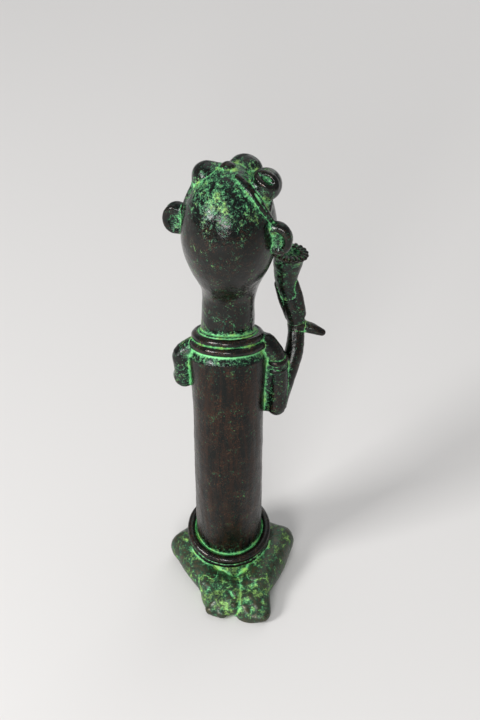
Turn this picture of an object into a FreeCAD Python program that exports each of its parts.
import FreeCAD
import Part

import math
import os

# A small lost-wax bronze: a kneeling figure with a tube body, wound rings at neck and waist, tufted hair,
# and a flared horn held upright in its raised right hand. Each node is one piece of the wax model that the
# caster rolled and pressed on. Every piece is cut to meet the pieces it is pressed against, face to face.
# Frame: millimetres, +Z up. The figure faces -Y, so its right hand is on -X. The origin is on the ground
# under the middle of the hips.

V = FreeCAD.Vector

# Heights of the main levels, from the ground
BELT_Z = 11.6
TORSO_TOP_Z = 71.8
NECK_SEAT_Z = 73.6
CHIN_Z = 90.0
CROWN_Z = 122.6

# Body tube
TORSO_R = 8.75
TORSO_TOP_R = 9.7
SPINE_BULGE = 3.0            # how far the back bows out between belt and shoulders
BELT_TILT = 14.5             # degrees: the belt line is lower at the back
SHOULDER_TILT = 19.0         # degrees: the neckline is lower at the front

# Rings, as the radius of the ring's centre line and of the wax thread
BELT_UPPER = (10.15, 1.15)
BELT_LOWER = (10.5, 0.8)
NECKLACE_LOWER = (8.6, 1.05)
NECKLACE_UPPER = (8.0, 1.0)

# Head
HEAD_TURN = -20.0            # degrees about Z: the face looks a little to the figure's right
HEAD_AXIS = V(-0.4, -4.0, 0)
NECK_R = 6.5
HEAD_HALF_WIDTH = 11.3
HEAD_HALF_DEPTH = 12.4

# Limbs and what the hand holds
ARM_R = 2.2
LEG_R = 4.0
HORN_LIP_R = 4.05

# Joints of the limbs
LEFT_SHOULDER = V(8.9, -0.6, 73.6)
LEFT_ELBOW = V(10.9, 0.4, 65.2)
LEFT_WRIST = V(7.2, -10.6, 60.8)
RIGHT_SHOULDER = V(-9.4, -0.6, 75.0)
RIGHT_ELBOW = V(-12.3, 1.6, 56.4)
RIGHT_WRIST = V(-17.2, -7.6, 74.3)
LEFT_KNEE = V(11.7, -0.6, 4.0)
RIGHT_KNEE = V(-13.6, -2.6, 4.0)

# Middle line of the horn from the grip to the mouth
HORN_LINE = (V(-17.3, -8.7, 76.6), V(-15.9, -9.1, 81.7), V(-14.5, -9.5, 87.0), V(-14.6, -9.9, 91.6),
             V(-15.2, -10.2, 95.8))


# ---------------------------------------------------------------- shape helpers

def largest(shape):
    """The biggest solid of a shape, so that a cut leaves one clean piece."""
    return max(shape.Solids, key=lambda solid: solid.Volume)


def seat(piece, *neighbours):
    """The piece with its neighbours cut away, so that they meet face to face."""
    for neighbour in neighbours:
        if piece.BoundBox.intersect(neighbour.BoundBox) and piece.distToShape(neighbour)[0] < 1e-4:
            piece = largest(piece.cut(neighbour))
    return piece


def turned(direction):
    """The rotation that takes +Z to the given direction."""
    return FreeCAD.Rotation(V(0, 0, 1), direction)


def ball(centre, radii, rotation=None):
    """An ellipsoid with the given half sizes."""
    matrix = FreeCAD.Matrix()
    matrix.scale(*radii)
    shape = Part.makeSphere(1.0).transformGeometry(matrix)
    shape.Placement = FreeCAD.Placement(centre, rotation or FreeCAD.Rotation())
    return shape


def ellipse_wire(centre, half_width, half_depth, normal=V(0, 0, 1)):
    """A closed wire round an ellipse; half_width lies along X before it is tilted to the normal."""
    if abs(half_width - half_depth) < 1e-6:
        curve = Part.Circle(V(0, 0, 0), V(0, 0, 1), half_width)
    elif half_width > half_depth:
        curve = Part.Ellipse(V(half_width, 0, 0), V(0, half_depth, 0), V(0, 0, 0))
    else:
        curve = Part.Ellipse(V(0, half_depth, 0), V(-half_width, 0, 0), V(0, 0, 0))
    # every wire starts on +X, so that a loft through them doesn't twist
    start = 0.0 if half_width >= half_depth else -math.pi / 2
    edge = curve.toShape(start, start + 2 * math.pi)
    edge.Placement = FreeCAD.Placement(centre, turned(normal))
    return Part.Wire([edge])


def through(values, share):
    """A value on the smooth curve through the given values; share runs from 0 at the first to 1 at the last."""
    place = share * (len(values) - 1)
    i = min(int(place), len(values) - 2)
    t = place - i
    before, start, end, after = (values[min(max(k, 0), len(values) - 1)] for k in (i - 1, i, i + 1, i + 2))
    slope_in, slope_out = (end - before) * 0.5, (after - start) * 0.5
    return (start * (2 * t**3 - 3 * t**2 + 1) + slope_in * (t**3 - 2 * t**2 + t)
            + end * (3 * t**2 - 2 * t**3) + slope_out * (t**3 - t**2))


def rod(points, radii, domed=(True, True)):
    """A rolled wax rod: round sections along a bent line, with domed ends."""
    steps = 4 * (len(points) - 1)
    centres = [through(points, i / steps) for i in range(steps + 1)]
    sizes = [through(radii, i / steps) for i in range(steps + 1)]
    along = [(centres[min(i + 1, steps)] - centres[max(i - 1, 0)]).normalize() for i in range(steps + 1)]
    sections = list(zip(centres, along, sizes))
    dome = [(math.sin(math.radians(a)), math.cos(math.radians(a))) for a in (25, 48, 68, 84)]
    if domed[0]:
        centre, axis, size = sections[0]
        sections = [(centre - axis * size * reach, axis, size * share) for reach, share in dome[::-1]] + sections
    if domed[1]:
        centre, axis, size = sections[-1]
        sections += [(centre + axis * size * reach, axis, size * share) for reach, share in dome]
    wires = [Part.Wire([Part.makeCircle(size, at, axis)]) for at, axis, size in sections]
    solid = Part.makeLoft(wires, True, True)
    if solid.Volume < 0:
        solid.reverse()
    return solid


def ring(centre, normal, sizes):
    """A closed ring of round thread. sizes holds the radius of its centre line and of the thread."""
    return Part.makeTorus(sizes[0], sizes[1], centre, normal)


def above_ground(piece):
    """The piece with everything below the ground cut off flat."""
    slab = Part.makeBox(200, 200, 50, V(-100, -100, -50))
    return largest(piece.cut(slab))


# ---------------------------------------------------------------- places shared by several pieces

def spine(z):
    """The middle of the body tube at a height."""
    middle = (BELT_Z + TORSO_TOP_Z) / 2
    half = (TORSO_TOP_Z - BELT_Z) / 2
    return V(0, SPINE_BULGE * (1 - ((z - middle) / half) ** 2), z)


def lean(degrees):
    """An upright direction leaned forward, towards the face, by some degrees."""
    angle = math.radians(degrees)
    return V(0, -math.sin(angle), math.cos(angle))


UP_AT_BELT = lean(-BELT_TILT)
UP_AT_SHOULDERS = lean(SHOULDER_TILT)


def on_head(side, front, z):
    """A point given from the head's axis: side is to the figure's left, front is towards the face."""
    turn = math.radians(HEAD_TURN)
    x = side * math.cos(turn) + front * math.sin(turn)
    y = side * math.sin(turn) - front * math.cos(turn)
    return HEAD_AXIS + V(x, y, z)


HEAD_ROTATION = FreeCAD.Rotation(V(0, 0, 1), HEAD_TURN)


# ---------------------------------------------------------------- body

def make_torso():
    """The tube body: round sections along the bowed spine, tilted with the belt and the neckline at its ends."""
    levels = ((0.0, TORSO_R), (0.2, TORSO_R - 0.05), (0.42, TORSO_R), (0.66, TORSO_R + 0.05),
              (0.84, TORSO_R + 0.3), (0.94, TORSO_TOP_R - 0.25), (1.0, TORSO_TOP_R))
    wires = []
    for share, radius in levels:
        centre = spine(BELT_Z + share * (TORSO_TOP_Z - BELT_Z))
        tilt = -BELT_TILT + share * (BELT_TILT + SHOULDER_TILT)
        wires.append(Part.Wire([Part.makeCircle(radius, centre, lean(tilt))]))
    return Part.makeLoft(wires, True, False)


def make_yoke():
    """The sloping shoulders that close the tube and carry the neck and the necklace."""
    outline = [V(0, 0, 0), V(TORSO_TOP_R, 0, 0), V(9.35, 0, 0.9), V(8.5, 0, 2.4), V(7.8, 0, 4.6), V(7.1, 0, 6.6)]
    side = Part.BSplineCurve()
    side.interpolate(outline[1:])
    top = V(0, 0, 6.6)
    edges = [Part.makeLine(outline[0], outline[1]), side.toShape(), Part.makeLine(outline[-1], top),
             Part.makeLine(top, outline[0])]
    yoke = Part.Face(Part.Wire(edges)).revolve(V(0, 0, 0), V(0, 0, 1), 360)
    yoke.Placement = FreeCAD.Placement(spine(TORSO_TOP_Z), turned(UP_AT_SHOULDERS))
    return largest(Part.Compound([yoke]))


def make_hips():
    """The low block that the tube stands on, flat underneath."""
    top = V(0, 0, BELT_Z)
    wires = [ellipse_wire(V(0, 0.5, 0), 8.2, 8.4), ellipse_wire(V(0, 0.6, 2.5), 9.3, 9.6),
             ellipse_wire(V(0, 0.4, 6.0), 9.6, 9.8, lean(-BELT_TILT / 2)), ellipse_wire(top, 9.0, 9.0, UP_AT_BELT)]
    return Part.makeLoft(wires, True, False)


def thread_at(base, up, height, sizes):
    return ring(base + up * height, up, sizes)


# ---------------------------------------------------------------- legs

def make_leg_part(start, end, radii):
    """A rod laid on the ground and sliced flat underneath."""
    return above_ground(rod([start, (start + end) * 0.5, end], radii))


def make_foot(ankle, toes, radii):
    """A foot laid back with its sole up: a low pad with steep sides, a little wider at the toes."""
    stops = [ankle, ankle + (toes - ankle) * 0.5, toes]
    return above_ground(rod(stops, radii))


def make_toe(middle, radius):
    return above_ground(ball(middle, (radius, radius, radius * 0.9)))


# ---------------------------------------------------------------- head

def make_head():
    """Head and neck in one: a round neck that swells into an egg with a soft chin at the front."""
    levels = (  # height, half width, half depth, how far the middle lies in front of the neck's axis
        (NECK_SEAT_Z, 6.3, 6.3, -2.6), (78.0, 6.6, 6.6, -1.6), (83.0, NECK_R, NECK_R, -0.9), (87.0, NECK_R, NECK_R + 0.1, -0.4),
        (CHIN_Z, 6.95, 7.9, 0.6), (94.0, 8.5, 10.0, 1.0), (98.0, 10.2, 11.5, 0.8),
        (102.0, 11.1, 12.2, 0.4), (105.5, HEAD_HALF_WIDTH, HEAD_HALF_DEPTH, 0.0), (109.5, 11.0, 12.1, 0.0),
        (113.3, 10.0, 11.1, 0.1), (117.0, 8.3, 9.3, 0.2), (120.0, 5.7, 6.5, 0.4), (121.8, 3.0, 3.5, 0.5),
        (CROWN_Z, 0.9, 1.1, 0.5))
    wires = []
    for z, half_width, half_depth, front in levels:
        wire = ellipse_wire(V(0, 0, 0), half_width, half_depth)
        wire.Placement = FreeCAD.Placement(on_head(0, front, z), HEAD_ROTATION)
        wires.append(wire)
    return Part.makeLoft(wires, True, False)


def make_ear(side):
    """A thick round flap that stands out from the head, dished in front; side is 1 for the left."""
    seam_inwards = FreeCAD.Rotation(V(0, 0, 1), HEAD_TURN + (180 if side > 0 else 0))
    flap = ball(on_head(side * 12.6, -0.8, 107.2), (3.5, 2.3, 4.3), seam_inwards)
    dish = Part.makeSphere(2.6, on_head(side * 12.9, 3.0, 107.2))
    return seat(flap, dish)


def make_braid():
    """The rolled strand from the crown, behind the right tuft, down to the right ear."""
    stops = [on_head(-2.8, -1.3, 121.6), on_head(-6.0, -2.3, 119.2), on_head(-8.7, -2.3, 115.8),
             on_head(-10.5, -0.9, 111.8)]
    return rod(stops, [0.85, 1.0, 1.0, 0.8])


def make_nose():
    """A straight, slender nose with a soft rounded tip."""
    return rod([on_head(0, 11.6, 105.6), on_head(0, 12.2, 102.4), on_head(0, 12.7, 99.2)], [0.8, 1.1, 1.6])


def make_eye(side):
    return ball(on_head(side * 4.3, 10.7, 105.0), (2.5, 1.5, 1.15), HEAD_ROTATION)


def make_mouth():
    """Closed lips: two level pads, the lower one a little fuller."""
    upper = ball(on_head(0, 11.3, 95.9), (2.9, 1.6, 0.75), HEAD_ROTATION)
    lower = ball(on_head(0, 11.0, 94.6), (2.5, 1.6, 0.85), HEAD_ROTATION)
    return largest(upper.fuse(lower))


# ---------------------------------------------------------------- arms

def make_upper_arm(shoulder, elbow, outward, radius):
    """A rolled rod that leaves the shoulder sideways and hangs to the elbow."""
    drop = elbow - shoulder
    bend = shoulder + V(outward * 2.3, 0.4, drop.z * 0.22)
    middle = shoulder + V(drop.x + outward * 0.3, drop.y * 0.6, drop.z * 0.55)
    return rod([shoulder, bend, middle, elbow], [radius + 0.2, radius + 0.25, radius, radius - 0.1])


def make_left_hand():
    """A flat mitten laid on the belly, thumb side up."""
    palm = ball(V(4.1, -10.0, 60.6), (3.9, 1.9, 2.5), FreeCAD.Rotation(V(0, 1, 0), 8))
    thumb = rod([V(6.0, -10.4, 61.6), V(4.9, -10.7, 62.9), V(3.6, -10.5, 64.0)], [0.95, 0.9, 0.75])
    return largest(palm.fuse(thumb))


def make_cuff(centre, axis):
    """A broad band round the wrist with soft edges."""
    return rod([centre - axis * 0.7, centre, centre + axis * 0.7], [2.15, 2.3, 2.15])


def horn_at(share):
    """A point on the horn's middle line and the direction of the line there; share is 0 at the grip."""
    ahead = through(HORN_LINE, min(share + 0.02, 1.0))
    behind = through(HORN_LINE, max(share - 0.02, 0.0))
    return through(HORN_LINE, share), (ahead - behind).normalize()


def beside_horn(share, angle, radius):
    """A point beside the horn. Angle 0 is on the outer side, away from the head, and 90 at the back."""
    centre, axis = horn_at(share)
    outer = (V(-1, 0, 0) - axis * V(-1, 0, 0).dot(axis)).normalize()
    back = outer.cross(axis)
    turn = math.radians(angle)
    return centre + outer * (radius * math.cos(turn)) + back * (radius * math.sin(turn))


def make_palm():
    """The heel of the hand between the cuff and the fingers."""
    top = horn_at(0.3)[0]
    start = RIGHT_WRIST + V(-0.1, -0.4, 1.0)
    return rod([start, (start + top) * 0.5, top], [1.9, 2.35, 2.3])


def make_thumb():
    """The thumb, which stands out sideways from the wrist."""
    return rod([V(-18.8, -8.2, 74.6), V(-21.3, -7.8, 74.0), V(-23.7, -7.3, 73.2)], [1.4, 1.3, 0.85])


def make_finger(angle, reach, thickness):
    """A finger laid up the side of the horn from the palm."""
    stops = [beside_horn(0.08, angle, 1.6), beside_horn(reach * 0.55, angle, 2.1), beside_horn(reach, angle, 2.3)]
    return rod(stops, [thickness, thickness, thickness * 0.8])


# ---------------------------------------------------------------- horn

def make_horn():
    """A bent, flared horn held on end: a slim stem that opens into a wide lip round a dished mouth."""
    radii = [1.7, 2.0, 2.65, 3.35, HORN_LIP_R]
    body = rod(HORN_LINE, radii, (True, False))
    mouth, axis = horn_at(1.0)
    dish = ball(mouth + axis * 0.6, (3.2, 3.2, 3.0), turned(axis))
    return seat(body, dish)


def make_horn_rim():
    """The thread wound round the lip of the horn."""
    mouth, axis = horn_at(1.0)
    return ring(mouth - axis * 0.2, axis, (HORN_LIP_R - 0.1, 0.6))


# ---------------------------------------------------------------- assembly

def build():
    """Every node by name, in the order that the caster would press the wax pieces on."""
    nodes = {}

    torso = make_torso()
    hips = seat(make_hips(), torso)
    yoke = make_yoke()
    head = seat(make_head(), yoke)
    nodes["torso"] = torso
    nodes["hips"] = hips
    nodes["shoulder_yoke"] = yoke
    nodes["head"] = head

    belt = spine(BELT_Z)
    neckline = spine(TORSO_TOP_Z)
    belt_upper = seat(thread_at(belt, UP_AT_BELT, 0.3, BELT_UPPER), torso, hips)
    belt_lower = seat(thread_at(belt, UP_AT_BELT, -1.5, BELT_LOWER), torso, hips, belt_upper)
    necklace_lower = seat(thread_at(neckline, UP_AT_SHOULDERS, 3.3, NECKLACE_LOWER), yoke)
    necklace_upper = seat(thread_at(neckline, UP_AT_SHOULDERS, 5.3, NECKLACE_UPPER), yoke, necklace_lower, head)
    nodes["belt_ring_upper"] = belt_upper
    nodes["belt_ring_lower"] = belt_lower
    nodes["necklace_ring_lower"] = necklace_lower
    nodes["necklace_ring_upper"] = necklace_upper

    core = (torso, hips, belt_upper, belt_lower)
    left_thigh = make_leg_part(V(3.6, -7.4, 4.4), LEFT_KNEE + V(0.2, -0.9, 0), [LEG_R, LEG_R - 0.1, 3.7])
    right_thigh = make_leg_part(V(-3.6, -7.6, 4.4), RIGHT_KNEE + V(0.2, -0.7, 0), [LEG_R, LEG_R - 0.1, 3.8])
    left_thigh = seat(left_thigh, *core)
    right_thigh = seat(right_thigh, *core, left_thigh)
    left_shin = make_leg_part(LEFT_KNEE, V(5.2, 12.2, 3.2), [3.9, 4.0, 3.4])
    right_shin = make_leg_part(RIGHT_KNEE, V(-7.9, 12.6, 3.4), [4.0, 4.7, 4.0])
    left_shin = seat(left_shin, *core, left_thigh)
    right_shin = seat(right_shin, *core, right_thigh, left_shin)
    left_foot = make_foot(V(3.3, 12.4, 1.6), V(2.3, 18.2, 1.2), [4.4, 4.6, 4.1])
    left_foot = seat(left_foot, *core, left_shin, right_shin)
    right_foot = make_foot(V(-5.8, 13.0, 1.6), V(-5.9, 19.4, 1.0), [4.6, 5.0, 4.8])
    right_foot = seat(right_foot, *core, right_shin, left_shin, left_foot)
    toes = [make_toe(V(4.5, 20.6, 1.7), 1.7), make_toe(V(1.8, 21.7, 1.5), 1.6)]
    nodes["left_thigh"] = left_thigh
    nodes["right_thigh"] = right_thigh
    nodes["left_shin"] = left_shin
    nodes["right_shin"] = right_shin
    nodes["left_foot"] = left_foot
    nodes["right_foot"] = right_foot
    nodes["left_big_toe"] = seat(toes[0], left_foot)
    nodes["left_small_toe"] = seat(toes[1], left_foot, toes[0], right_foot)

    nodes["left_ear"] = seat(make_ear(1), head)
    nodes["right_ear"] = seat(make_ear(-1), head)
    crown_knob = seat(ball(on_head(0.6, 1.2, 122.4), (1.7, 1.7, 1.3)), head)
    tuft_left = seat(ball(on_head(5.9, 1.4, 118.9), (3.6, 3.5, 3.5), HEAD_ROTATION), head, crown_knob)
    tuft_front = seat(ball(on_head(-1.8, 6.6, 119.2), (4.1, 3.6, 3.8), HEAD_ROTATION), head, crown_knob, tuft_left)
    tuft_right = ball(on_head(-8.4, 2.0, 119.2), (3.8, 4.0, 3.9), HEAD_ROTATION)
    tuft_right = seat(tuft_right, head, crown_knob, tuft_front)
    braid = seat(make_braid(), head, tuft_right, crown_knob, nodes["right_ear"])
    nodes["crown_knob"] = crown_knob
    nodes["hair_tuft_left"] = tuft_left
    nodes["hair_tuft_front"] = tuft_front
    nodes["hair_tuft_right"] = tuft_right
    nodes["hair_braid_right"] = braid
    nodes["nose"] = seat(make_nose(), head)
    nodes["left_eye"] = seat(make_eye(1), head, nodes["nose"])
    nodes["right_eye"] = seat(make_eye(-1), head, nodes["nose"])
    nodes["mouth"] = seat(make_mouth(), head, nodes["nose"])

    trunk = (torso, yoke, necklace_lower, necklace_upper)
    left_upper_arm = seat(make_upper_arm(LEFT_SHOULDER, LEFT_ELBOW, 1, ARM_R + 0.1), *trunk)
    left_forearm = rod([LEFT_ELBOW, V(11.6, -5.4, 61.6), LEFT_WRIST], [ARM_R, ARM_R, ARM_R - 0.2])
    left_forearm = seat(left_forearm, left_upper_arm, torso)
    nodes["left_upper_arm"] = left_upper_arm
    nodes["left_forearm"] = left_forearm
    nodes["left_hand"] = seat(make_left_hand(), torso, left_forearm)

    right_upper_arm = seat(make_upper_arm(RIGHT_SHOULDER, RIGHT_ELBOW, -1, ARM_R + 0.2), *trunk)
    nodes["right_upper_arm"] = right_upper_arm
    for name, height in (("right_armlet_upper", 70.8), ("right_armlet_lower", 68.4)):
        armlet = ring(V(-12.1, 0.0, height), V(0.1, -0.1, -1), (2.2, 0.8))
        nodes[name] = seat(armlet, right_upper_arm, *trunk)
    worn = (right_upper_arm, nodes["right_armlet_upper"], nodes["right_armlet_lower"], torso)
    forearm_line = [RIGHT_ELBOW, V(-14.4, -1.2, 63.2), V(-16.7, -4.6, 69.6), RIGHT_WRIST]
    right_forearm = seat(rod(forearm_line, [ARM_R, ARM_R + 0.2, ARM_R + 0.1, ARM_R - 0.3]), *worn)
    wrist_axis = (RIGHT_WRIST - forearm_line[2]).normalize()
    bracelet = seat(make_cuff(RIGHT_WRIST + wrist_axis * 0.8, wrist_axis), right_forearm)
    nodes["right_forearm"] = right_forearm
    nodes["right_bracelet"] = bracelet

    horn = make_horn()
    palm = seat(make_palm(), horn, right_forearm, bracelet)
    horn_rim = make_horn_rim()
    horn = seat(horn, bracelet, horn_rim)
    nodes["horn"] = horn
    nodes["horn_rim"] = horn_rim
    nodes["right_palm"] = palm
    nodes["right_thumb"] = seat(make_thumb(), palm, right_forearm, bracelet, horn)
    held = [horn, palm, bracelet, right_forearm, nodes["right_thumb"]]
    fingers = (("right_index_finger", 20, 0.5, 1.15), ("right_middle_finger", -45, 0.5, 1.1),
               ("right_ring_finger", -110, 0.48, 1.1), ("right_little_finger", 175, 0.5, 1.0))
    for name, angle, reach, thickness in fingers:
        nodes[name] = seat(make_finger(angle, reach, thickness), *held)
        held.append(nodes[name])
    return nodes


def export(nodes):
    os.makedirs("parts", exist_ok=True)
    for name, shape in nodes.items():
        shape.exportStep(f"parts/{name}.step")
        print(f"{name:24s} solids {len(shape.Solids):2d}  volume {shape.Volume:9.2f}  valid {shape.isValid()}")


export(build())
